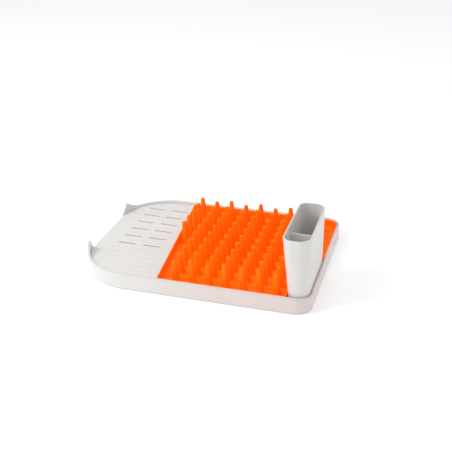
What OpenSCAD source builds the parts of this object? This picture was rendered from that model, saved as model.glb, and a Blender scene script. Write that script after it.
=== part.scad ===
// Dish drying rack: a low drip tray that carries a ribbed drain deck, a peg mat
// and a utensil caddy. Every insert lifts straight up out of the tray.
// Origin: centre of the footprint, on the surface that the rack stands on. +Z is up,
// -Y is the front and -X is the end with the drain mouth.

/* [Tray] */
// Length of the tray, left to right
tray_w = 430; // [400:5:480]
// Depth of the tray, front to back
tray_d = 336; // [336:2:360]
// Height of the rim above the surface
tray_h = 28; // [26:1:32]
// Corner radius at the mouth end
left_r = 105; // [95:5:120]
// Corner radius at the caddy end
right_r = 30; // [28:1:40]
// Width of the rim along the front and the back
rim_w = 9; // [8:0.5:12]
// Width of the rim at both ends
rim_side = 4.6; // [3.6:0.2:4.6]
// Wall thickness of the tray
tray_t = 2.4; // [2:0.2:3]

/* [Drain mouth] */
// Height of the two ears above the rim
ear_h = 16; // [8:1:30]
// Distance of an ear's tip from the centre line
ear_y = 90; // [84:1:100]
// Length of an ear's front slope
ear_l = 34; // [24:1:40]
// Width of the mouth at its lip
mouth_w = 124; // [100:4:124]
// Height of the lip above the surface
lip_z = 12; // [9:1:18]

/* [Drain deck] */
// Height of the deck's top face
deck_z = 23.5; // [22:0.5:24]
// Height of a drain rib above the deck
rib_h = 1; // [0.6:0.2:2.4]
// Distance between two drain ribs
rib_pitch = 16; // [14:1:20]
// Place of the seam between deck and mat, at the front edge
seam_x = -54; // [-60:1:-48]
// Slant of that seam, in degrees from the Y axis
seam_slant = 6; // [0:0.5:8]

/* [Peg mat] */
// Distance between two peg columns
peg_pitch_x = 30; // [28:1:30]
// Distance between two peg rows
peg_pitch_y = 29; // [27:1:29]
// Height of a peg above the mat's floor
peg_h = 40; // [30:1:45]
// Extra height of every second column
peg_step = 5; // [0:1:8]
// Width of a peg at its foot, left to right
peg_w = 15; // [12:1:16]
// Depth of a peg at its foot, front to back
peg_d = 12; // [10:1:14]

/* [Caddy] */
// Height of the caddy's rim above the surface
caddy_top = 134; // [110:1:150]
// Width of the caddy where it leaves the tray
caddy_w = 36.4; // [34:0.2:38]
// Depth of the caddy where it leaves the tray
caddy_d = 149; // [140:1:150]
// Outward lean of the caddy's left wall, in degrees
caddy_lean = 5.4; // [1:0.2:6]
// Forward lean of the caddy's front wall, in degrees
front_lean = 4.6; // [0:0.2:5]
// Distance of the divider from the caddy's front
divider_y = 46; // [40:1:80]

/* [Hidden] */
PEG_ROWS = 10;
ROW_NODES = [for (r = [1:PEG_ROWS]) str("peg_row_", r)];
FOOT_NODES = ["foot_front_left", "foot_front_right", "foot_back_left", "foot_back_right"];
$fn = 96;

WHITE = [0.93, 0.93, 0.91];
CADDY_WHITE = [0.90, 0.90, 0.87];
ORANGE = [1.0, 0.42, 0.02];
GREY = [0.45, 0.45, 0.46];

// Heights shared by the tray and what stands in it
foot_h = 3.5;
skirt_z = 1.5;
floor_top = foot_h + 2.5;
fit_gap = 0.5;

// Plan of the basin and of the inserts
inner_w = tray_w / 2 - rim_side;
inner_d = tray_d / 2 - rim_w;
insert_gap = rim_w + fit_gap;
insert_side_gap = rim_side + fit_gap;

// Ends of the channel under the rim
channel_x = 150;

// Ears beside the mouth
EAR_STEPS = 10;
EAR_POWER = 1.6;

// Feet
foot_r = 10;
foot_x = 160;
foot_y = 105;
foot_chamfer = 0.8;
ring_t = 1.6;

// Drain deck
deck_t = 2.5;
rib_w = 3;
deck_edge = 9;
slot_w = 3.5;
slot_l = 34;
slot_x = -172;
slot_step = 48;
slot_first = -3;
rail_t = 3;
rail_x = -145;
rail_l = 50;
rail_inset = 22;
cross_rail_l = 90;
cross_rail_inset = 14;
weld = 0.2;

// Peg mat
mat_t = 2.2;
mat_floor_z = 10;
mat_floor_t = 2.5;
mat_top = tray_h - 1;
mat_leg_r = 4;
drain_r = 2.5;
peg_x0 = -27;
peg_y0 = -133;
peg_tip_r = 4.2;
peg_top_d = 5;
PEG_TIP_STEPS = 9;
full_row = 5;

// Caddy
caddy_t = 2.8;
caddy_right = inner_w - fit_gap;
caddy_front = -inner_d + fit_gap;
caddy_left = caddy_right - caddy_w;
caddy_back = caddy_front + caddy_d;
caddy_foot_h = 2;
caddy_floor_z = floor_top + caddy_foot_h;
caddy_right_r = right_r - insert_gap;
caddy_back_r = 18;
caddy_left_r = 16;
caddy_holes = 4;
CADDY_FN = 48;
caddy_hole_x = (caddy_left + caddy_right) / 2 + 1;
stub_r = 3;
stub_left = 9;
stub_right = 8;
stub_front = 38;
stub_back = 22;
notch_gap = 0.6;
notch_x = caddy_left - notch_gap;
notch_y = caddy_back + notch_gap;

// Divider and its guides
divider_t = 1.8;
divider_drop = 12;
divider_top = caddy_top - divider_drop;
guide_t = 1.6;
guide_reach = 2.6;
guide_gap = 2.4;

// ---- plan outlines ----

// Plan of the tray, drawn in by one inset at the front and back and another at the ends
module outline(inset, side_inset) {
    w = tray_w / 2 - side_inset;
    d = tray_d / 2 - inset;
    rl = left_r - inset;
    rr = right_r - inset;
    translate([-w + rl, -d]) square([2 * w - rl - rr, 2 * d]);
    translate([-w, -d + rl]) square([rl, 2 * (d - rl)]);
    translate([w - rr, -d + rr]) square([rr, 2 * (d - rr)]);
    for (s = [-1, 1]) {
        translate([-w + rl, s * (d - rl)]) circle(rl);
        translate([w - rr, s * (d - rr)]) circle(rr);
    }
}

// X of the slanted seam at a given Y
function seam(y) = seam_x - (y + inner_d) * tan(seam_slant);

// Half plane on one side of the seam: side 1 is the mat's, -1 is the deck's
module seam_side(side, gap) {
    far = side * tray_w;
    polygon([
        [seam(-tray_d) + side * gap, -tray_d], [far, -tray_d],
        [far, tray_d], [seam(tray_d) + side * gap, tray_d]
    ]);
}

// ---- tray ----

module tray() {
    color(WHITE) difference() {
        union() {
            // outer skirt, rim and basin wall
            translate([0, 0, skirt_z]) linear_extrude(tray_h - skirt_z) outline(0, 0);
            ears();
        }
        // basin
        translate([0, 0, floor_top]) linear_extrude(tray_h + ear_h) outline(rim_w, rim_side);
        // channel under the rim, along the front and the back
        translate([0, 0, -1]) linear_extrude(tray_h - tray_t + 1) intersection() {
            difference() {
                outline(tray_t, tray_t);
                outline(rim_w - tray_t, rim_side - tray_t);
            }
            translate([-channel_x, -tray_d]) square([2 * channel_x, 2 * tray_d]);
        }
        // space under the floor
        linear_extrude(foot_h) outline(tray_t, tray_t);
        mouth_cut();
    }
    color(WHITE) for (x = [-foot_x, foot_x], y = [-foot_y, foot_y]) translate([x, y, 0]) foot_ring();
}

// Ring that holds a foot under the floor
module foot_ring() {
    translate([0, 0, skirt_z]) difference() {
        cylinder(r = foot_r + fit_gap / 2 + ring_t, h = foot_h - skirt_z);
        translate([0, 0, -1]) cylinder(r = foot_r + fit_gap / 2, h = foot_h);
    }
}

// Height of an ear's front slope above the rim, at a distance from the tip
function ear_edge(t) = ear_h * pow(1 - t / ear_l, EAR_POWER);

// Both ears: the outer wall swept up towards the mouth
module ears() {
    slope = [for (i = [0:EAR_STEPS]) let (t = ear_l * (1 - i / EAR_STEPS)) [ear_y + t, tray_h + ear_edge(t)]];
    side = mouth_w / 3;
    base = [[side, tray_h + ear_h], [side, floor_top], [ear_y + ear_l, floor_top]];
    intersection() {
        linear_extrude(tray_h + ear_h + 1) outline(0, 0);
        for (s = [0, 1]) mirror([0, s, 0]) translate([-tray_w / 2 - 1, 0, 0])
            rotate([90, 0, 90]) linear_extrude(left_r) polygon(concat(slope, base));
    }
}

// Mouth between the ears: its sides rise in a straight slope from the lip to the ears' tips
module mouth_cut() {
    top = tray_h + ear_h;
    flare = (ear_y - mouth_w / 2) / (top - lip_z);
    over = 2;
    top_w = ear_y + over * flare;
    translate([-tray_w / 2 - 1, 0, 0]) rotate([90, 0, 90]) linear_extrude(rim_w + 1)
        polygon([[-mouth_w / 2, lip_z], [mouth_w / 2, lip_z], [top_w, top + over], [-top_w, top + over]]);
}

// ---- feet ----

module foot(i) {
    sx = i % 2 == 0 ? -1 : 1;
    sy = i < 2 ? -1 : 1;
    color(GREY) translate([sx * foot_x, sy * foot_y, 0]) {
        cylinder(r1 = foot_r - foot_chamfer, r2 = foot_r, h = foot_chamfer);
        translate([0, 0, foot_chamfer]) cylinder(r = foot_r, h = foot_h - foot_chamfer);
    }
}

// ---- drain deck ----

// Plan of the deck, drawn in by an even inset
module deck_plan(inset) {
    intersection() {
        outline(insert_gap + inset, insert_side_gap + inset);
        seam_side(-1, fit_gap / 2 + inset);
    }
}

module drain_deck() {
    rib_n = floor((inner_d - deck_edge) / rib_pitch);
    rail_h = deck_z - deck_t - floor_top + weld;
    color(WHITE) {
        difference() {
            translate([0, 0, deck_z - deck_t]) linear_extrude(deck_t) deck_plan(0);
            // drain slots, in the valleys between the ribs, clear of the front
            for (i = [slot_first:2:rib_n - 2], x = [slot_x, slot_x + slot_step])
                translate([x, (i + 0.5) * rib_pitch - slot_w / 2, 0]) cube([slot_l, slot_w, tray_h]);
        }
        // drain ribs, sunk a little into the plate
        intersection() {
            translate([0, 0, deck_z - weld]) linear_extrude(rib_h + weld) deck_plan(deck_edge);
            for (i = [-rib_n:rib_n]) translate([-tray_w / 2, i * rib_pitch - rib_w / 2, 0])
                cube([tray_w, rib_w, tray_h]);
        }
        // rails that the deck stands on: one along each side and one behind the mouth
        for (s = [-1, 1]) translate([rail_x, s * (inner_d - rail_inset) - rail_t / 2, floor_top])
            cube([rail_l, rail_t, rail_h]);
        translate([-inner_w + cross_rail_inset, -cross_rail_l / 2, floor_top])
            cube([rail_t, cross_rail_l, rail_h]);
    }
}

// ---- peg mat ----

// Plan of the mat, drawn in by an even inset, with the corner left free for the caddy
module mat_plan(inset) {
    difference() {
        intersection() {
            outline(insert_gap + inset, insert_side_gap + inset);
            seam_side(1, fit_gap / 2 + inset);
        }
        translate([notch_x - inset, -tray_d]) square([tray_w, tray_d + notch_y + inset]);
    }
}

module peg_mat() {
    color(ORANGE) difference() {
        translate([0, 0, mat_floor_z]) linear_extrude(mat_top - mat_floor_z) mat_plan(0);
        translate([0, 0, mat_floor_z + mat_floor_t]) linear_extrude(tray_h) mat_plan(mat_t);
        // drain holes, between the pegs
        for (c = [0:2:4], r = [2:2:8]) translate([peg_x(c + 0.5), peg_y(r + 0.5), 0])
            cylinder(r = drain_r, h = tray_h);
    }
    // stub legs that keep the mat clear of the wet floor
    color(ORANGE) for (c = [1:2:5], r = [1:3:7]) translate([peg_x(c + 0.5), peg_y(r + 0.5), floor_top])
        cylinder(r = mat_leg_r, h = mat_floor_z - floor_top);
}

function peg_x(column) = peg_x0 + column * peg_pitch_x;
function peg_y(row) = peg_y0 + row * peg_pitch_y;

// Angle of a peg's sloping right flank, from the vertical
function peg_slope(h) = atan((peg_w - 2 * peg_tip_r) / (h - peg_tip_r));

// Front view of a peg: an upright left flank, a sloping right flank and a round tip
function peg_front(h) =
    let (tip = [-peg_w / 2 + peg_tip_r, h - peg_tip_r])
    let (start = peg_slope(h), step = (180 - start) / PEG_TIP_STEPS)
    concat(
        [[-peg_w / 2, 0], [peg_w / 2, 0]],
        [for (i = [0:PEG_TIP_STEPS]) tip + peg_tip_r * [cos(start + i * step), sin(start + i * step)]]
    );

// One peg, thinner from front to back at the top than at its foot
module peg(h) {
    over = 2;
    intersection() {
        translate([0, peg_d / 2, 0]) rotate([90, 0, 0]) linear_extrude(peg_d) polygon(peg_front(h));
        translate([-peg_w / 2 - over, 0, 0]) rotate([90, 0, 90]) linear_extrude(peg_w + 2 * over)
            polygon([
                [-peg_d / 2, -over], [peg_d / 2, -over], [peg_d / 2, 0],
                [peg_top_d / 2, h + over], [-peg_top_d / 2, h + over], [-peg_d / 2, 0]
            ]);
    }
}

// One row of pegs; the back rows also have a column at each end, beside the caddy and the seam
module peg_row(r) {
    columns = r < full_row ? [0:6] : [-1:7];
    color(ORANGE) for (c = columns) translate([peg_x(c), peg_y(r), mat_floor_z + mat_floor_t])
        peg(peg_h + (abs(c) % 2) * peg_step);
}

// ---- utensil caddy ----

// Width and depth of the caddy at a height: the left wall and the front wall lean out
function caddy_wide(z) = caddy_w + (z - tray_h) * tan(caddy_lean);
function caddy_deep(z) = caddy_d + (z - tray_h) * tan(front_lean);

// Plan of the caddy, drawn in by an even inset, with its back right corner on the origin
module caddy_plan(width, depth, inset) {
    rf = caddy_right_r - inset;
    rb = caddy_back_r - inset;
    rl = caddy_left_r - inset;
    w = width - 2 * inset;
    d = depth - 2 * inset;
    intersection() {
        // right side: a large radius in the tray's corner and a smaller one at the back
        hull() {
            translate([-rf, rf - d]) circle(rf);
            translate([-rb, -rb]) circle(rb);
            translate([-2 * w, -d]) square([w, d]);
        }
        // left side
        hull() {
            for (y = [rl - d, -rl]) translate([rl - w, y]) circle(rl);
            translate([0, -d]) square([w, d]);
        }
    }
}

// Form of the caddy between two heights: upright at the right and the back
module caddy_form(inset, z0, z1) {
    grow_x = (caddy_wide(z1) - 2 * inset) / (caddy_wide(z0) - 2 * inset);
    grow_y = (caddy_deep(z1) - 2 * inset) / (caddy_deep(z0) - 2 * inset);
    translate([caddy_right - inset, caddy_back - inset, z0])
        linear_extrude(z1 - z0, scale = [grow_x, grow_y], slices = 1)
            caddy_plan(caddy_wide(z0), caddy_deep(z0), inset, $fn = CADDY_FN);
}

module caddy() {
    color(CADDY_WHITE) difference() {
        caddy_form(0, caddy_floor_z, caddy_top);
        difference() {
            caddy_form(caddy_t, caddy_floor_z + caddy_t, caddy_top + 1);
            divider_guides();
        }
        // drain holes: one in front of the divider and an even row behind it
        translate([caddy_hole_x, caddy_front + divider_y / 2, 0]) cylinder(r = drain_r, h = 2 * tray_h);
        for (i = [0:caddy_holes - 1])
            translate([caddy_hole_x, caddy_back - (i + 0.5) * (caddy_d - divider_y) / caddy_holes, 0])
                cylinder(r = drain_r, h = 2 * tray_h);
    }
    // stub feet under the caddy
    color(CADDY_WHITE)
        for (x = [caddy_left + stub_left, caddy_right - stub_right])
            for (y = [caddy_front + stub_front, caddy_back - stub_back])
                translate([x, y, floor_top]) cylinder(r = stub_r, h = caddy_foot_h);
}

// Pairs of upright ribs that the divider slides between
module divider_guides() {
    guide_left = caddy_left + (tray_h - caddy_floor_z) * tan(caddy_lean);
    guide_h = divider_top - caddy_floor_z;
    for (s = [-1, 1])
        translate([0, caddy_front + divider_y + s * (guide_gap + guide_t) / 2 - guide_t / 2, caddy_floor_z]) {
            translate([caddy_right - caddy_t - guide_reach, 0, 0]) cube([guide_reach + 1, guide_t, guide_h]);
            translate([guide_left, 0, 0]) rotate([0, -caddy_lean, 0])
                cube([caddy_t + guide_reach, guide_t, guide_h]);
        }
}

// Divider: a plate that follows the leaning wall
module caddy_divider() {
    z0 = caddy_floor_z + caddy_t;
    edge = caddy_t + fit_gap;
    left0 = caddy_left + edge + (tray_h - z0) * tan(caddy_lean);
    left1 = caddy_left + edge - (divider_top - tray_h) * tan(caddy_lean);
    right = caddy_right - edge;
    plate = [[left0, z0], [right, z0], [right, divider_top], [left1, divider_top]];
    color(WHITE) translate([0, caddy_front + divider_y + divider_t / 2, 0])
        rotate([90, 0, 0]) linear_extrude(divider_t) polygon(plate);
}

tray();
drain_deck();
peg_mat();
caddy();
caddy_divider();
for (i = [0:3]) foot(i);
for (r = [0:PEG_ROWS - 1]) peg_row(r);
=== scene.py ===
"""Dish drying rack: a white drip tray that holds a ribbed drain deck, an orange peg mat and a
utensil caddy. Shapes are worked out in millimetres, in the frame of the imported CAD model."""

import math

import bmesh
import bpy
from mathutils import Matrix, Vector


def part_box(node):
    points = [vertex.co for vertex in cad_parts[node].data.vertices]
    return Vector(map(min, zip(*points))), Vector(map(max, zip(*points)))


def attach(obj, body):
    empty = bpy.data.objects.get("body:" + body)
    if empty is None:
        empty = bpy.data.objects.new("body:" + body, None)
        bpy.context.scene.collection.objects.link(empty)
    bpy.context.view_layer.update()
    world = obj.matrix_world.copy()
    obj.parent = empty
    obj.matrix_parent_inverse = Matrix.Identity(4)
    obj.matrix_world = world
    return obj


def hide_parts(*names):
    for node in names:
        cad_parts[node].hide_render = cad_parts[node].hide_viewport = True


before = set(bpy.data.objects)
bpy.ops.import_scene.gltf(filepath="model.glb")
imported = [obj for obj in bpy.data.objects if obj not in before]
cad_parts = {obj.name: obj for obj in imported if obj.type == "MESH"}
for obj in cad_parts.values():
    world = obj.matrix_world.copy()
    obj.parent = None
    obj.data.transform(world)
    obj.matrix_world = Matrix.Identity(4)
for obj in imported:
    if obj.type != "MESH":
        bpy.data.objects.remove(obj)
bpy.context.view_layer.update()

MM = 0.001
SEAM_X = -54.0          # seam between deck and mat, at the basin's front edge
SEAM_SLANT = 6.0        # slant of that seam, degrees from the Y axis
RIM_W = 9.0             # rim along the front and the back
RIM_SIDE = 4.6          # rim at both ends
FIT_GAP = 0.5           # gap around each insert
LEFT_R = 105.0          # tray corners at the mouth end
RIGHT_R = 30.0          # tray corners at the caddy end
EAR_H = 16.0            # ears above the rim
EAR_Y = 90.0            # tip of an ear, from the centre line
EAR_L = 34.0            # front slope of an ear
EAR_POWER = 1.6         # curve of that slope
EAR_ROUND = 0.8         # softening of an ear's tip
MOUTH_HALF = 62.0       # half the mouth's width at its lip
LIP_Z = 12.0            # height of the lip
LIP_ROUND = 5.0         # softening where the lip meets the mouth's sides
CADDY_LEAN = 5.4        # outward lean of the caddy's left wall, degrees
FRONT_LEAN = 4.6        # forward lean of its front wall, degrees
CADDY_W = 36.4          # width of the caddy where it leaves the tray
INSERT_R = RIGHT_R - RIM_W - FIT_GAP    # right-hand corner radius of what lies in the tray
DRAIN_R = 2.5           # drain holes in the mat and the caddy
SOFT = 0.5              # usual softening of a small edge
SHARP_ANGLE = 38.0      # an edge that turns by more than this many degrees is shaded sharp


def mm_box(node):
    """Lowest and highest corners of a CAD node, in millimetres."""
    low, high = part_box(node)
    return Vector(low) / MM, Vector(high) / MM


# ---------------------------------------------------------------- mesh helpers

def plan_ring(corners, inset=0.0):
    """Closed outline with rounded corners, counter-clockwise, drawn in by an inset.
    A corner is (x, y, radius, steps on its arc, steps on the edge after it)."""
    points = []
    count = len(corners)
    starts = []
    for i in range(count):
        here = Vector(corners[i][:2])
        u = (here - Vector(corners[i - 1][:2])).normalized()
        v = (Vector(corners[(i + 1) % count][:2]) - here).normalized()
        nu = Vector((-u.y, u.x))
        nv = Vector((-v.y, v.x))
        here = here + (nu + nv) * (inset / (1.0 + nu.dot(nv)))
        turn = math.atan2(u.x * v.y - u.y * v.x, u.dot(v))
        side = 1.0 if turn > 0 else -1.0
        radius = max(corners[i][2] - side * inset, 0.05)
        centre = here - u * (radius * math.tan(abs(turn) / 2)) + nu * (side * radius)
        spoke = nu * (-side * radius)
        starts.append(len(points))
        for k in range(corners[i][3] + 1):
            points.append(centre + Matrix.Rotation(turn * k / corners[i][3], 2) @ spoke)
    outline = []
    for i in range(count):
        last = starts[i + 1] if i + 1 < count else len(points)
        outline += points[starts[i]:last]
        a, b = points[last - 1], points[last % len(points)]
        steps = corners[i][4]
        outline += [a.lerp(b, k / steps) for k in range(1, steps)]
    return outline


class Outline:
    """An outline whose points move in straight lines as its inset grows. The inner outline that
    they move to can be given, with the inset at which they reach it."""

    def __init__(self, corners, inner=None, reach=1.0):
        self.base = plan_ring(corners)
        ring = plan_ring(inner) if inner else plan_ring(corners, reach)
        self.slope = [(b - a) / reach for a, b in zip(self.base, ring)]

    def ring(self, inset, z):
        """Points at an inset and a height; either may be a function of the point's place."""
        points = []
        for p, s in zip(self.base, self.slope):
            d = inset(p) if callable(inset) else inset
            h = z(p) if callable(z) else z
            points.append((p.x + s.x * d, p.y + s.y * d, h))
        return points


def add_ring(bm, points):
    """Vertices at points given in millimetres."""
    return [bm.verts.new((x * MM, y * MM, z * MM)) for x, y, z in points]


def add_loft(bm, rings, cap_first=True, cap_last=True):
    """Skins a stack of rings that have the same number of points."""
    loops = [add_ring(bm, r) for r in rings]
    count = len(loops[0])
    for a, b in zip(loops, loops[1:]):
        for i in range(count):
            j = (i + 1) % count
            bm.faces.new((a[i], a[j], b[j], b[i]))
    if cap_first:
        bm.faces.new(list(reversed(loops[0])))
    if cap_last:
        bm.faces.new(loops[-1])
    return loops


def circle_ring(x, y, r, z, steps):
    """Points round a level circle."""
    turn = 2 * math.pi / steps
    return [(x + r * math.cos(k * turn), y + r * math.sin(k * turn), z) for k in range(steps)]


def slot_ring(x0, x1, y, half, z, steps=6):
    """Outline of a slot with round ends, along X."""
    points = []
    for cx, start in ((x1 - half, -math.pi / 2), (x0 + half, math.pi / 2)):
        for k in range(steps + 1):
            a = start + math.pi * k / steps
            points.append((cx + half * math.cos(a), y + half * math.sin(a), z))
    return points


def add_turned(bm, x, y, profile, steps=24):
    """A turned piece: rings of (radius, height) round an upright axis."""
    return add_loft(bm, [circle_ring(x, y, r, z, steps) for r, z in profile])


def loop_edges(bm, verts):
    """Edges of a closed loop of vertices, made where they don't exist."""
    edges = []
    for a, b in zip(verts, verts[1:] + verts[:1]):
        edge = bm.edges.get((a, b))
        edges.append(edge if edge else bm.edges.new((a, b)))
    return edges


def fill_between(bm, outer, holes, up):
    """Fills a flat face that has holes in it."""
    edges = loop_edges(bm, outer)
    for hole in holes:
        edges += loop_edges(bm, hole)
    bmesh.ops.triangle_fill(bm, use_beauty=True, edges=edges, normal=(0, 0, 1 if up else -1))


def add_holes(bm, top_loop, bottom_loop, shapes, top_z, bottom_z, chamfer=0.4):
    """Cuts holes between two flat faces: shapes are functions of (growth, z) that return a ring."""
    tops, bottoms = [], []
    for shape in shapes:
        rings = [shape(chamfer, top_z), shape(0, top_z - chamfer), shape(0, bottom_z)]
        loops = add_loft(bm, list(reversed(rings)), cap_first=False, cap_last=False)
        for face in set(f for v in loops[1] for f in v.link_faces):
            face.normal_flip()
        tops.append(loops[-1])
        bottoms.append(loops[0])
    fill_between(bm, top_loop, tops, True)
    fill_between(bm, bottom_loop, bottoms, False)


def finish_piece(name, bm, material, body, nodes):
    """Turns the mesh into a smooth-shaded object that rides on a body and replaces CAD nodes."""
    bmesh.ops.recalc_face_normals(bm, faces=bm.faces)
    mesh = bpy.data.meshes.new(name)
    bm.to_mesh(mesh)
    bm.free()
    mesh.shade_smooth()
    mesh.set_sharp_from_angle(angle=math.radians(SHARP_ANGLE))
    obj = bpy.data.objects.new(name, mesh)
    bpy.context.scene.collection.objects.link(obj)
    obj.data.materials.append(material)
    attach(obj, body)
    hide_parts(*nodes)


# ---------------------------------------------------------------- materials

# sockets of a Mix node that is set to colours, where names are shared by several sockets
MIX_FACTOR, MIX_A, MIX_B, MIX_RESULT = 0, 6, 7, 2


def noise(nodes, links, place, scale, detail, distortion=0.0):
    """Noise over the piece's own coordinates."""
    texture = nodes.new("ShaderNodeTexNoise")
    texture.inputs["Scale"].default_value = scale
    texture.inputs["Detail"].default_value = detail
    texture.inputs["Distortion"].default_value = distortion
    links.new(place, texture.inputs["Vector"])
    return texture.outputs["Fac"]


def ramp(nodes, links, value, low, high, first, last):
    """Colour that goes from first to last as a value goes from low to high."""
    blend = nodes.new("ShaderNodeValToRGB")
    blend.color_ramp.elements[0].position = low
    blend.color_ramp.elements[0].color = (*first, 1.0)
    blend.color_ramp.elements[1].position = high
    blend.color_ramp.elements[1].color = (*last, 1.0)
    links.new(value, blend.inputs["Fac"])
    return blend.outputs["Color"]


def moulded_plastic(name, colour, shade, roughness, grain, specular, subsurface=0.0,
                    glow=(1.0, 1.0, 1.0), painted_bounce_tint=None, painted_glow=0.0):
    """Moulded plastic: slow flow marks in colour and gloss, fine handling marks, and a spark-eroded
    grain in the bump. A painted pink bounce tint, standing for orange light bounced onto the piece, is
    multiplied in towards the piece's right-hand end. A bright plastic also gives off a little light of its
    glow colour: a painted glow that makes it look brighter than its lamps light it."""
    material = bpy.data.materials.new(name)
    material.use_nodes = True
    nodes, links = material.node_tree.nodes, material.node_tree.links
    shader = nodes["Principled BSDF"]
    place = nodes.new("ShaderNodeTexCoord").outputs["Object"]

    flow = noise(nodes, links, place, 14.0, 3.0, 0.6)
    colour_out = ramp(nodes, links, flow, 0.32, 0.68, shade, colour)
    # painted bounce light: a pink tint, standing for orange light bounced from the mat, multiplied in
    # towards the right-hand end
    if painted_bounce_tint:
        split = nodes.new("ShaderNodeSeparateXYZ")
        links.new(place, split.inputs["Vector"])
        side = nodes.new("ShaderNodeMapRange")
        side.interpolation_type = "SMOOTHSTEP"
        side.inputs["From Min"].default_value = BOUNCE_TINT_FROM
        side.inputs["From Max"].default_value = BOUNCE_TINT_TO
        links.new(split.outputs["X"], side.inputs["Value"])
        mix = nodes.new("ShaderNodeMix")
        mix.data_type = "RGBA"
        mix.blend_type = "MULTIPLY"
        mix.inputs[MIX_B].default_value = (*painted_bounce_tint, 1.0)
        links.new(side.outputs["Result"], mix.inputs[MIX_FACTOR])
        links.new(colour_out, mix.inputs[MIX_A])
        colour_out = mix.outputs[MIX_RESULT]
    links.new(colour_out, shader.inputs["Base Color"])

    handling = noise(nodes, links, place, 45.0, 4.0)
    gloss = nodes.new("ShaderNodeMapRange")
    gloss.inputs["To Min"].default_value = roughness - 0.07
    gloss.inputs["To Max"].default_value = roughness + 0.07
    links.new(handling, gloss.inputs["Value"])
    links.new(gloss.outputs["Result"], shader.inputs["Roughness"])

    fine = noise(nodes, links, place, 900.0, 2.0)
    bump = nodes.new("ShaderNodeBump")
    bump.inputs["Strength"].default_value = grain
    bump.inputs["Distance"].default_value = 0.0003
    links.new(fine, bump.inputs["Height"])
    links.new(bump.outputs["Normal"], shader.inputs["Normal"])

    shader.inputs["IOR"].default_value = 1.49
    shader.inputs["Specular IOR Level"].default_value = specular
    shader.inputs["Subsurface Weight"].default_value = subsurface
    shader.inputs["Subsurface Radius"].default_value = glow
    shader.inputs["Subsurface Scale"].default_value = 0.004
    # painted glow: emission makes the plastic give off light, though it is no lamp
    shader.inputs["Emission Color"].default_value = (*glow, 1.0)
    shader.inputs["Emission Strength"].default_value = painted_glow
    return material


BOUNCE_TINT_FROM, BOUNCE_TINT_TO = -0.16, 0.10        # stretch along X over which painted pink bounce light from the orange mat fades in on the tray's white
# The tray's white carries painted bounce light: a pink tint for the orange mat's light, fading in towards
# its right-hand end.
TRAY_WHITE = moulded_plastic(
    "tray_white", (0.75, 0.755, 0.735), (0.725, 0.73, 0.71), roughness=0.36, grain=0.10, specular=0.4,
    painted_bounce_tint=(1.0, 0.87, 0.865))
DECK_WHITE = moulded_plastic(
    "deck_white", (0.78, 0.765, 0.745), (0.755, 0.74, 0.72), roughness=0.42, grain=0.14, specular=0.4)
CADDY_WHITE = moulded_plastic(
    "caddy_white", (0.74, 0.725, 0.705), (0.715, 0.7, 0.68), roughness=0.34, grain=0.08, specular=0.4)
# The orange mat carries a painted glow: it gives off a little light of its own, to look brighter.
MAT_ORANGE = moulded_plastic(
    "mat_orange", (1.0, 0.225, 0.001), (0.97, 0.195, 0.0008), roughness=0.5, grain=0.12, specular=0.12,
    subsurface=0.06, glow=(1.0, 0.05, 0.002), painted_glow=0.14)
FOOT_GREY = moulded_plastic(
    "foot_grey", (0.17, 0.17, 0.175), (0.13, 0.13, 0.135), roughness=0.72, grain=0.35, specular=0.3)


# ---------------------------------------------------------------- tray

TRAY_LOW, TRAY_HIGH = mm_box("tray")
HALF_W, HALF_D = TRAY_HIGH.x, TRAY_HIGH.y
BASIN_W, BASIN_D = HALF_W - RIM_SIDE, HALF_D - RIM_W
SKIRT_Z = TRAY_LOW.z
RIM_Z = TRAY_HIGH.z - EAR_H
PAD_H = mm_box("foot_front_left")[1].z
FLOOR_Z = mm_box("peg_mat")[0].z        # top of the tray's floor, where the mat's legs stand
DRAFT_FOOT = 0.8                        # how far the outer wall draws in at its foot
SKIRT_T = 2.2                           # thickness of the skirt
EDGE_R = 3.0                            # radius of the rim's outer edge
INNER_DROP = 1.4                        # from the rim down to where its inner edge ends
CHANNEL_DROP = 2.8                      # from the rim down to the channel's roof
FLOOR_INSET = 24.0                      # where the two faces of the floor are closed flat


def smooth_min(a, b, radius):
    """The lower of two heights, with the corner between them rounded."""
    h = max(0.0, min(1.0, 0.5 + 0.5 * (b - a) / radius))
    return b + (a - b) * h - radius * h * (1.0 - h)


def wall_top(p):
    """Height of the tray's wall at a place: level, swept up to the ears, and cut down in the mouth."""
    if p.x > 0:
        return RIM_Z
    y = abs(p.y)
    past = max(0.0, y - EAR_Y)
    slope = RIM_Z + EAR_H * max(0.0, 1.0 - past / EAR_L) ** EAR_POWER
    steep = (RIM_Z + EAR_H - LIP_Z) / (EAR_Y - MOUTH_HALF)
    side = LIP_Z + steep * (y - MOUTH_HALF)
    lip = -smooth_min(-side, -LIP_Z, LIP_ROUND)
    return smooth_min(slope, lip, EAR_ROUND)


def wall_inset(z):
    """The outer wall leans out as it rises, up to the ears' tips."""
    return max(0.0, DRAFT_FOOT * (TRAY_HIGH.z - z) / (TRAY_HIGH.z - SKIRT_Z))


def tray_corners(inset, side_inset):
    """The tray's plan, with arcs and edges cut finely enough for the ears and the mouth."""
    w, d = HALF_W - side_inset, HALF_D - inset
    big, small = LEFT_R - inset, RIGHT_R - inset
    return [(-w, -d, big, 110, 46), (w, -d, small, 24, 40), (w, d, small, 24, 46), (-w, d, big, 110, 84)]


def between(low, part, high):
    """A height part of the way from one height to the wall's top less a drop."""
    return lambda p: low + part * (wall_top(p) - high - low)


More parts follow.
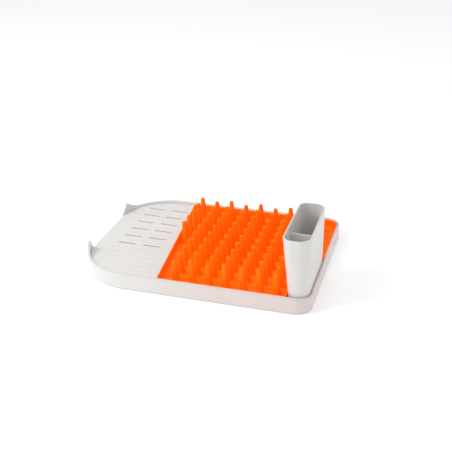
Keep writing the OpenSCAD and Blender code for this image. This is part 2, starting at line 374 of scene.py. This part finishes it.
def build_tray():
    """One closed shell, skinned from the underside to the floor, and four rings for the feet."""
    outline = Outline(tray_corners(0, 0), tray_corners(RIM_W, RIM_SIDE), RIM_W)
    foot_in = wall_inset(SKIRT_Z)
    channel_z = PAD_H + 1.2

    def under(part):
        """Height part of the way up the channel, whose roof follows the rim but not the ears."""
        return lambda p: channel_z + part * (min(wall_top(p), RIM_Z) - CHANNEL_DROP - channel_z)

    # from the underside, up and over the channel under the rim, and round the foot of the skirt
    rings = [
        outline.ring(FLOOR_INSET, PAD_H),
        outline.ring(9.2, PAD_H),
        outline.ring(7.6, PAD_H + 0.3),
        outline.ring(7.0, channel_z),
        outline.ring(6.8, under(0.6)),
        outline.ring(6.7, under(0.95)),
        outline.ring(6.4, under(1.0)),
        outline.ring(5.6, under(1.0)),
        outline.ring(foot_in + SKIRT_T - 0.2, under(0.9)),
        outline.ring(foot_in + SKIRT_T, SKIRT_Z + 0.7),
        outline.ring(foot_in + SKIRT_T - SOFT, SKIRT_Z),
        outline.ring(foot_in + 0.6, SKIRT_Z),
        outline.ring(foot_in + 0.1, SKIRT_Z + SOFT)]
    # up the outer wall and round the rim's outer edge
    for part in (0.12, 0.3, 0.5, 0.7, 0.87, 1.0):
        height = between(SKIRT_Z, part, EDGE_R)
        rings.append(outline.ring(lambda p, height=height: wall_inset(height(p)), height))
    for k in range(1, 6):
        a = math.radians(18 * k)
        turn_in, drop = EDGE_R * (1 - math.cos(a)), EDGE_R * (1 - math.sin(a))
        rings.append(outline.ring(lambda p, t=turn_in: wall_inset(wall_top(p)) + t,
                                  lambda p, drop=drop: wall_top(p) - drop))
    # across the rim, over its inner edge, down the basin wall and onto the floor
    for back, drop in ((2.6, 0), (1.5, 0), (0.75, 0.2), (0.2, 0.7), (0, INNER_DROP)):
        rings.append(outline.ring(RIM_W - back, lambda p, drop=drop: wall_top(p) - drop))
    rings += [
        outline.ring(RIM_W + 0.1, between(FLOOR_Z, 0.7, INNER_DROP)),
        outline.ring(RIM_W + 0.3, between(FLOOR_Z, 0.4, INNER_DROP)),
        outline.ring(RIM_W + 0.9, FLOOR_Z + 1.3),
        outline.ring(RIM_W + 2.0, FLOOR_Z + 0.4),
        outline.ring(RIM_W + 3.6, FLOOR_Z),
        outline.ring(FLOOR_INSET, FLOOR_Z)]

    bm = bmesh.new()
    add_loft(bm, rings)
    for foot in FEET:
        low, high = mm_box(foot)
        add_foot_ring(bm, (low.x + high.x) / 2, (low.y + high.y) / 2, (high.x - low.x) / 2)
    finish_piece("tray_shell", bm, TRAY_WHITE, "base", ["tray"])


def add_foot_ring(bm, x, y, pad_r):
    """Ring under the floor that locates a rubber pad."""
    inner = pad_r + FIT_GAP / 2
    outer = inner + FOOT_RING_T
    profile = [(inner, PAD_H + 0.1), (inner, SKIRT_Z + 0.4), (inner + 0.4, SKIRT_Z), (outer - 0.4, SKIRT_Z),
               (outer, SKIRT_Z + 0.4), (outer + 0.4, PAD_H + 0.1)]
    add_turned(bm, x, y, profile, steps=40)


# ---------------------------------------------------------------- feet

FEET = ["foot_front_left", "foot_front_right", "foot_back_left", "foot_back_right"]
FOOT_RING_T = 1.6


def build_foot(node):
    """Rubber pad with a ringed tread."""
    low, high = mm_box(node)
    r = (high.x - low.x) / 2
    top = high.z
    profile = [(1.6, 0.5), (2.2, 0.45), (2.6, 0), (4.6, 0), (5.0, 0.45), (5.6, 0.45), (6.0, 0), (r - 1.2, 0),
               (r - 0.5, 0.2), (r - 0.1, 0.8), (r, 1.4), (r, top - 0.4), (r - 0.3, top)]
    bm = bmesh.new()
    add_turned(bm, (low.x + high.x) / 2, (low.y + high.y) / 2, profile, steps=48)
    finish_piece(node + "_pad", bm, FOOT_GREY, "base", [node])


# ---------------------------------------------------------------- drain deck

DECK_Z = 23.5
DECK_T = 2.5
RIB_PITCH = 16.0
RIB_H = 0.9
RIB_HALF = 5.0
RIB_FADE = 14.0              # length over which a rib's end fades out
SLOT_X, SLOT_STEP = -172.0, 48.0
SLOT_L, SLOT_HALF = 34.0, 1.75
SLOT_FIRST = -3              # first valley with slots, counted from the middle
DECK_EDGE = 9.0              # flat border round the ribs
RAIL_X, RAIL_L, RAIL_T, RAIL_INSET = -145.0, 50.0, 3.0, 22.0
CROSS_RAIL_L, CROSS_RAIL_INSET = 90.0, 14.0
DECK_R = LEFT_R - RIM_W - FIT_GAP
DECK_W, DECK_D = BASIN_W - FIT_GAP, BASIN_D - FIT_GAP


def seam(y):
    """X of the slanted seam between deck and mat."""
    return SEAM_X - (y + BASIN_D) * math.tan(math.radians(SEAM_SLANT))


def deck_left(y, inset):
    """X of the deck's rounded left side at a given Y."""
    r = DECK_R - inset
    past = max(0.0, abs(y) - (DECK_D - DECK_R))
    return -DECK_W + DECK_R - math.sqrt(max(0.0, r * r - past * past))


def add_rib(bm, y):
    """Drain rib: a soft ridge that fades out at both ends, with its root inside the plate."""
    x0, x1 = deck_left(y, DECK_EDGE), seam(y) - DECK_EDGE
    across, along = 12, 48
    root = DECK_Z - 0.5
    edge = DECK_Z - 0.04
    rings = []
    for i in range(along + 1):
        x = x0 + (x1 - x0) * i / along
        fade = min(1.0, min(x - x0, x1 - x) / RIB_FADE)
        fade = fade * fade * (3 - 2 * fade)
        ring = [(x, y - RIB_HALF, root)]
        for k in range(across + 1):
            s = -1 + 2 * k / across
            ring.append((x, y + s * RIB_HALF, edge + RIB_H * fade * math.cos(math.pi * s / 2) ** 2))
        ring.append((x, y + RIB_HALF, root))
        rings.append(ring)
    add_loft(bm, rings)


def build_deck():
    """Plate with slots, low ribs on top and rails below."""
    foot_z = mm_box("drain_deck")[0].z
    under = DECK_Z - DECK_T
    d = DECK_D
    gap = FIT_GAP / 2
    outline = Outline([
        (-DECK_W, -d, DECK_R, 48, 24), (seam(-d) - gap, -d, 4, 8, 60),
        (seam(d) - gap, d, 4, 8, 24), (-DECK_W, d, DECK_R, 48, 30)])
    rings = [(2.0, under), (0.5, under), (0.1, under + 0.4), (0.0, under + 0.9), (0.0, DECK_Z - 0.9),
             (0.15, DECK_Z - 0.35), (0.6, DECK_Z - 0.06), (1.3, DECK_Z)]
    bm = bmesh.new()
    loops = add_loft(bm, [outline.ring(i, z) for i, z in rings], cap_first=False, cap_last=False)
    ribs = int((BASIN_D - DECK_EDGE) // RIB_PITCH)
    slots = []
    for i in range(SLOT_FIRST, ribs - 1, 2):
        for x in (SLOT_X, SLOT_X + SLOT_STEP):
            y = (i + 0.5) * RIB_PITCH
            slots.append(lambda g, z, x=x, y=y: slot_ring(x - g, x + SLOT_L + g, y, SLOT_HALF + g, z))
    add_holes(bm, loops[-1], loops[0], slots, DECK_Z, under)
    for i in range(-ribs, ribs + 1):
        add_rib(bm, i * RIB_PITCH)
    # rails: one along each side and one behind the mouth
    top = under + 0.1
    for s in (-1, 1):
        rail_y = s * (BASIN_D - RAIL_INSET)
        add_block(bm, (RAIL_X, rail_y - RAIL_T / 2, foot_z), (RAIL_X + RAIL_L, rail_y + RAIL_T / 2, top))
    cross_x = -BASIN_W + CROSS_RAIL_INSET
    add_block(bm, (cross_x, -CROSS_RAIL_L / 2, foot_z), (cross_x + RAIL_T, CROSS_RAIL_L / 2, top))
    finish_piece("drain_deck_plate", bm, DECK_WHITE, "deck", ["drain_deck"])


def box_outline(x0, y0, x1, y1, radius):
    """Outline of a small block with rounded corners."""
    return Outline([(x, y, radius, 3, 1) for x, y in ((x0, y0), (x1, y0), (x1, y1), (x0, y1))])


def add_block(bm, low, high):
    """Upright block with softened edges."""
    radius = min(high[0] - low[0], high[1] - low[1]) * 0.3
    outline = box_outline(low[0], low[1], high[0], high[1], radius)
    levels = ((SOFT, low[2]), (0, low[2] + SOFT), (0, high[2] - SOFT), (SOFT, high[2]))
    add_loft(bm, [outline.ring(inset, z) for inset, z in levels])


# ---------------------------------------------------------------- peg mat

MAT_TOP = mm_box("peg_mat")[1].z
MAT_UNDER = 10.0                        # underside of the mat's floor
MAT_LEG_R = 4.0
MAT_FLOOR = mm_box("peg_row_1")[0].z
PEG_ROWS = ["peg_row_%d" % (i + 1) for i in range(10)]
PEG_PITCH_X, PEG_PITCH_Y = 30.0, 29.0
PEG_X0 = -27.0                          # the column that the others are counted from
PEG_W, PEG_D = 15.0, 12.0
PEG_STEP = 5.0                          # extra height of every second column
PEG_TIP_R = 4.2
PEG_TOP_D = 5.4
PEG_FILLET = 3.6                        # fillet round a peg's foot
NOTCH_GAP = 0.6                         # between the mat and the caddy
CADDY_LOW, CADDY_HIGH = mm_box("caddy")


def superellipse(t, a, b, power=2.7):
    """Point at an angle on an oval with full shoulders."""
    c, s = math.cos(t), math.sin(t)
    e = 2 / power
    return a * math.copysign(abs(c) ** e, c), b * math.copysign(abs(s) ** e, s)


def add_peg(bm, x, y, height):
    """Peg with an upright left flank, a sloping right flank, a round tip and a wide fillet."""
    steps = 24
    turns = [k * math.pi / 12 for k in range(7)]
    levels = [(PEG_FILLET * (1 - math.cos(a)), PEG_FILLET * (1 - math.sin(a))) for a in turns]
    body = height - PEG_TIP_R
    levels += [(PEG_FILLET + (body - PEG_FILLET) * k / 6, 0.0) for k in range(1, 7)]
    shoulders = [k * math.pi / 14 for k in range(1, 7)]
    rings = []

    def section(z, grow, shrink):
        part = min(z, body) / body
        left = -PEG_W / 2 + 0.35 * part
        right = PEG_W / 2 + (2 * PEG_TIP_R - PEG_W) * part
        half_w = (right - left) / 2
        half_d = PEG_D / 2 + (PEG_TOP_D - PEG_D) / 2 * part
        centre = x + (left + right) / 2
        points = []
        for i in range(steps):
            turn = 2 * math.pi * (i + 0.5) / steps
            px, py = superellipse(turn, half_w * shrink + grow, half_d * shrink + grow)
            points.append((centre + px, y + py, MAT_FLOOR - 0.05 + z))
        return points

    for z, grow in levels:
        rings.append(section(z, grow, 1.0))
    for a in shoulders:
        rings.append(section(body + PEG_TIP_R * math.sin(a), 0.0, math.cos(a)))
    add_loft(bm, rings, cap_first=False)


def build_mat():
    """Shallow basin with drain holes, its pegs and its legs."""
    w, d = BASIN_W - FIT_GAP, BASIN_D - FIT_GAP
    gap = FIT_GAP / 2
    top = MAT_TOP
    notch_x = CADDY_HIGH.x - CADDY_W - NOTCH_GAP
    notch_y = CADDY_HIGH.y + NOTCH_GAP
    outline = Outline([
        (seam(-d) + gap, -d, 7, 10, 30), (notch_x, -d, 6, 8, 30), (notch_x, notch_y, 5, 8, 8),
        (w, notch_y, 6, 8, 24), (w, d, INSERT_R, 24, 30), (seam(d) + gap, d, 7, 10, 30)])
    rings = [(4.5, MAT_UNDER), (1.2, MAT_UNDER), (0.3, MAT_UNDER + 0.4), (0.0, MAT_UNDER + 1.3),
             (0.0, top - 1.2), (0.2, top - 0.5), (0.65, top - 0.08), (1.2, top - 0.02), (1.7, top - 0.35),
             (2.0, top - 1.1), (2.6, MAT_FLOOR + 4), (3.0, MAT_FLOOR + 1.9), (3.8, MAT_FLOOR + 0.6),
             (5.2, MAT_FLOOR)]
    bm = bmesh.new()
    loops = add_loft(bm, [outline.ring(i, z) for i, z in rings], cap_first=False, cap_last=False)
    row_y = [(mm_box(n)[0].y + mm_box(n)[1].y) / 2 for n in PEG_ROWS]

    def middle(column, row):
        """The middle of the four pegs round a place on the mat."""
        return PEG_X0 + (column + 0.5) * PEG_PITCH_X, row_y[row] + PEG_PITCH_Y / 2

    holes = []
    for column in range(0, 5, 2):
        for row in range(2, 9, 2):
            x, y = middle(column, row)
            holes.append(lambda grow, z, x=x, y=y: circle_ring(x, y, DRAIN_R + grow, z, 24))
    add_holes(bm, loops[-1], loops[0], holes, MAT_FLOOR, MAT_UNDER)
    for node, y in zip(PEG_ROWS, row_y):
        low, high = mm_box(node)
        count = round((high.x - low.x - PEG_W) / PEG_PITCH_X) + 1
        for i in range(count):
            x = low.x + PEG_W / 2 + i * PEG_PITCH_X
            tall = round((x - PEG_X0) / PEG_PITCH_X) % 2
            add_peg(bm, x, y, high.z - MAT_FLOOR - (0 if tall else PEG_STEP))
    leg = [(MAT_LEG_R - 0.6, FLOOR_Z), (MAT_LEG_R - 0.1, FLOOR_Z + SOFT), (MAT_LEG_R, MAT_UNDER + 0.05)]
    for column in (1, 3, 5):
        for row in (1, 4, 7):
            x, y = middle(column, row)
            add_turned(bm, x, y, leg)
    finish_piece("peg_mat_moulding", bm, MAT_ORANGE, "mat", ["peg_mat"] + PEG_ROWS)


# ---------------------------------------------------------------- caddy

CADDY_T = 2.8
CADDY_LEFT_R = 16.0
CADDY_BACK_R = 18.0
CADDY_FLOOR = 8.0                       # underside of the caddy's floor
STUB_R = 3.0
STUB_LEFT, STUB_RIGHT, STUB_FRONT, STUB_BACK = 9.0, 8.0, 38.0, 22.0
GUIDE_GAP, GUIDE_T = 2.4, 1.6
DIVIDER_LOW, DIVIDER_HIGH = mm_box("caddy_divider")
DIVIDER_Y = (DIVIDER_LOW.y + DIVIDER_HIGH.y) / 2


def caddy_left(z):
    """X of the caddy's leaning left wall at a height."""
    return CADDY_HIGH.x - CADDY_W - (z - RIM_Z) * math.tan(math.radians(CADDY_LEAN))


def caddy_front(z):
    """Y of the caddy's front wall, which leans forward, at a height."""
    return FIT_GAP - BASIN_D - (z - RIM_Z) * math.tan(math.radians(FRONT_LEAN))


def caddy_ring(inset, z):
    """The caddy's outline at a height, drawn in by an inset."""
    left, right = caddy_left(z), CADDY_HIGH.x
    front, back = caddy_front(z), CADDY_HIGH.y
    front_left_r = min(CADDY_LEFT_R, right - left - INSERT_R - 0.3)
    outline = Outline([
        (left, front, front_left_r, 18, 4), (right, front, INSERT_R, 22, 16),
        (right, back, CADDY_BACK_R, 16, 4), (left, back, CADDY_LEFT_R, 16, 16)])
    return outline.ring(inset, z)


def build_caddy():
    """Cup with a rolled rim, drain holes, guides for the divider and stub feet."""
    top = CADDY_HIGH.z
    bottom = CADDY_FLOOR
    inside = bottom + 2.2
    # up the outside, over the rim and down the inside
    levels = [(5, bottom), (1.6, bottom), (0.5, bottom + 0.5), (0, bottom + 1.8)]
    levels += [(0, bottom + 1.8 + (top - bottom - 3.2) * k / 5) for k in range(1, 6)]
    levels += [(0.12, top - 0.75), (0.5, top - 0.22), (1.1, top), (1.8, top - 0.04), (2.4, top - 0.4)]
    levels.append((CADDY_T - 0.1, top - 1.1))
    levels += [(CADDY_T, top - 2.2), (CADDY_T, top - 40), (CADDY_T, inside + 6)]
    levels += [(CADDY_T + 0.5, inside + 1.8), (CADDY_T + 1.6, inside + 0.4), (CADDY_T + 3.2, inside)]
    bm = bmesh.new()
    loops = add_loft(bm, [caddy_ring(i, z) for i, z in levels], cap_first=False, cap_last=False)
    middle = (caddy_left(RIM_Z) + CADDY_HIGH.x) / 2 + 1
    step = (CADDY_HIGH.y - DIVIDER_Y) / 4
    hole_y = [(caddy_front(RIM_Z) + DIVIDER_Y) / 2] + [CADDY_HIGH.y - (i + 0.5) * step for i in range(4)]
    holes = [lambda grow, z, y=y: circle_ring(middle, y, DRAIN_R + grow, z, 20) for y in hole_y]
    add_holes(bm, loops[-1], loops[0], holes, inside, bottom)
    for s in (-1, 1):
        y = DIVIDER_Y + s * (GUIDE_GAP + GUIDE_T) / 2
        add_guide(bm, CADDY_HIGH.x - CADDY_T, -1, y, inside)
        add_guide(bm, None, 1, y, inside)
    foot_z = CADDY_LOW.z
    stub = [(STUB_R - SOFT, foot_z), (STUB_R, foot_z + SOFT), (STUB_R + 0.2, bottom + 0.05)]
    for x in (caddy_left(RIM_Z) + STUB_LEFT, CADDY_HIGH.x - STUB_RIGHT):
        for y in (caddy_front(RIM_Z) + STUB_FRONT, CADDY_HIGH.y - STUB_BACK):
            add_turned(bm, x, y, stub)
    finish_piece("caddy_cup", bm, CADDY_WHITE, "cup", ["caddy"])


def add_guide(bm, wall_x, reach_side, y, inside):
    """Round-topped rib on the caddy's wall, one of a pair that the divider slides between. With no
    wall X it stands on the left wall, and leans with it."""
    top = DIVIDER_HIGH.z
    rings = []
    for z, grow in ((inside - 0.1, 0), (top - 3, 0), (top - 1.2, 0.25), (top, 0.9)):
        wall = wall_x if wall_x is not None else caddy_left(z) + CADDY_T
        near, far = wall - reach_side * 0.4, wall + reach_side * (2.3 - grow)
        x0, x1 = min(near, far), max(near, far)
        half = GUIDE_T / 2 - grow * 0.5
        rings.append(box_outline(x0, y - half, x1, y + half, 0.3).ring(0, z))
    add_loft(bm, rings)


def build_divider():
    """Plate across the caddy, with softened edges."""
    z0, z1 = DIVIDER_LOW.z, DIVIDER_HIGH.z
    edge = CADDY_T + FIT_GAP
    right = CADDY_HIGH.x - edge
    outline = Outline([
        (caddy_left(z0) + edge, z0, 2, 5, 6), (right, z0, 2, 5, 20), (right, z1, 3, 8, 24),
        (caddy_left(z1) + edge, z1, 3, 8, 20)])
    half = (DIVIDER_HIGH.y - DIVIDER_LOW.y) / 2

    def across(inset, y):
        """The plate's outline, stood upright at a Y."""
        return [(x, y, z) for x, z, _ in outline.ring(inset, 0.0)]

    bm = bmesh.new()
    front = [(0.7, -half), (0.2, 0.2 - half), (0, 0.6 - half)]
    levels = front + [(inset, -offset) for inset, offset in reversed(front)]
    add_loft(bm, [across(inset, DIVIDER_Y + offset) for inset, offset in levels])
    finish_piece("caddy_divider_plate", bm, CADDY_WHITE, "divider", ["caddy_divider"])


build_tray()
for foot in FEET:
    build_foot(foot)
build_deck()
build_mat()
build_caddy()
build_divider()


# ---------------------------------------------------------------- stage, light and camera

def add_floor():
    """Wide pale floor that gives off a little light, so that it stays white far from the lamps."""
    mesh = bpy.data.meshes.new("floor")
    mesh.from_pydata([(-8, -8, 0), (8, -8, 0), (8, 8, 0), (-8, 8, 0)], [], [(0, 1, 2, 3)])
    floor = bpy.data.objects.new("floor", mesh)
    bpy.context.scene.collection.objects.link(floor)
    material = bpy.data.materials.new("floor_pale")
    material.use_nodes = True
    shader = material.node_tree.nodes["Principled BSDF"]
    shader.inputs["Base Color"].default_value = (0.97, 0.97, 0.97, 1)
    shader.inputs["Roughness"].default_value = 0.8
    shader.inputs["Specular IOR Level"].default_value = 0.1
    shader.inputs["Emission Color"].default_value = (1, 1, 1, 1)
    shader.inputs["Emission Strength"].default_value = 0.22
    mesh.materials.append(material)


def add_area(name, place, size, power):
    """Soft lamp that faces the object."""
    data = bpy.data.lights.new(name, "AREA")
    data.size = size
    data.energy = power
    lamp = bpy.data.objects.new(name, data)
    lamp.location = place
    lamp.rotation_euler = (-Vector(place)).to_track_quat("-Z", "Y").to_euler()
    bpy.context.scene.collection.objects.link(lamp)


SENSOR, LENS = 36.0, 64.2743            # camera's sensor width and focal length, in millimetres


def add_camera():
    """Long lens from the front right, looking down at about 25 degrees."""
    target = Vector((-0.0118, 0.1282, 0.0))
    azimuth, elevation, distance = math.radians(16.1), math.radians(25.5), 1.632
    level = math.cos(elevation)
    back = Vector((math.sin(azimuth) * level, -math.cos(azimuth) * level, math.sin(elevation)))
    data = bpy.data.cameras.new("camera")
    data.sensor_width = SENSOR
    data.lens = LENS
    camera = bpy.data.objects.new("camera", data)
    camera.location = target + back * distance
    camera.rotation_euler = (-back).to_track_quat("-Z", "Y").to_euler()
    bpy.context.scene.collection.objects.link(camera)
    bpy.context.scene.camera = camera


def set_sky():
    """White studio all round, shown without film-like toning so that white stays white."""
    bpy.context.scene.view_settings.view_transform = "Standard"
    world = bpy.data.worlds.new("studio")
    world.use_nodes = True
    world.node_tree.nodes["Background"].inputs["Color"].default_value = (1.0, 1.0, 1.0, 1)
    world.node_tree.nodes["Background"].inputs["Strength"].default_value = 0.68
    bpy.context.scene.world = world


add_floor()
set_sky()
add_area("key", (-1.4, -0.9, 1.5), size=1.0, power=19)
add_area("side", (1.8, 0.6, 0.9), size=1.2, power=1)
add_area("top", (-0.2, 0.4, 2.2), size=1.4, power=5)
add_camera()
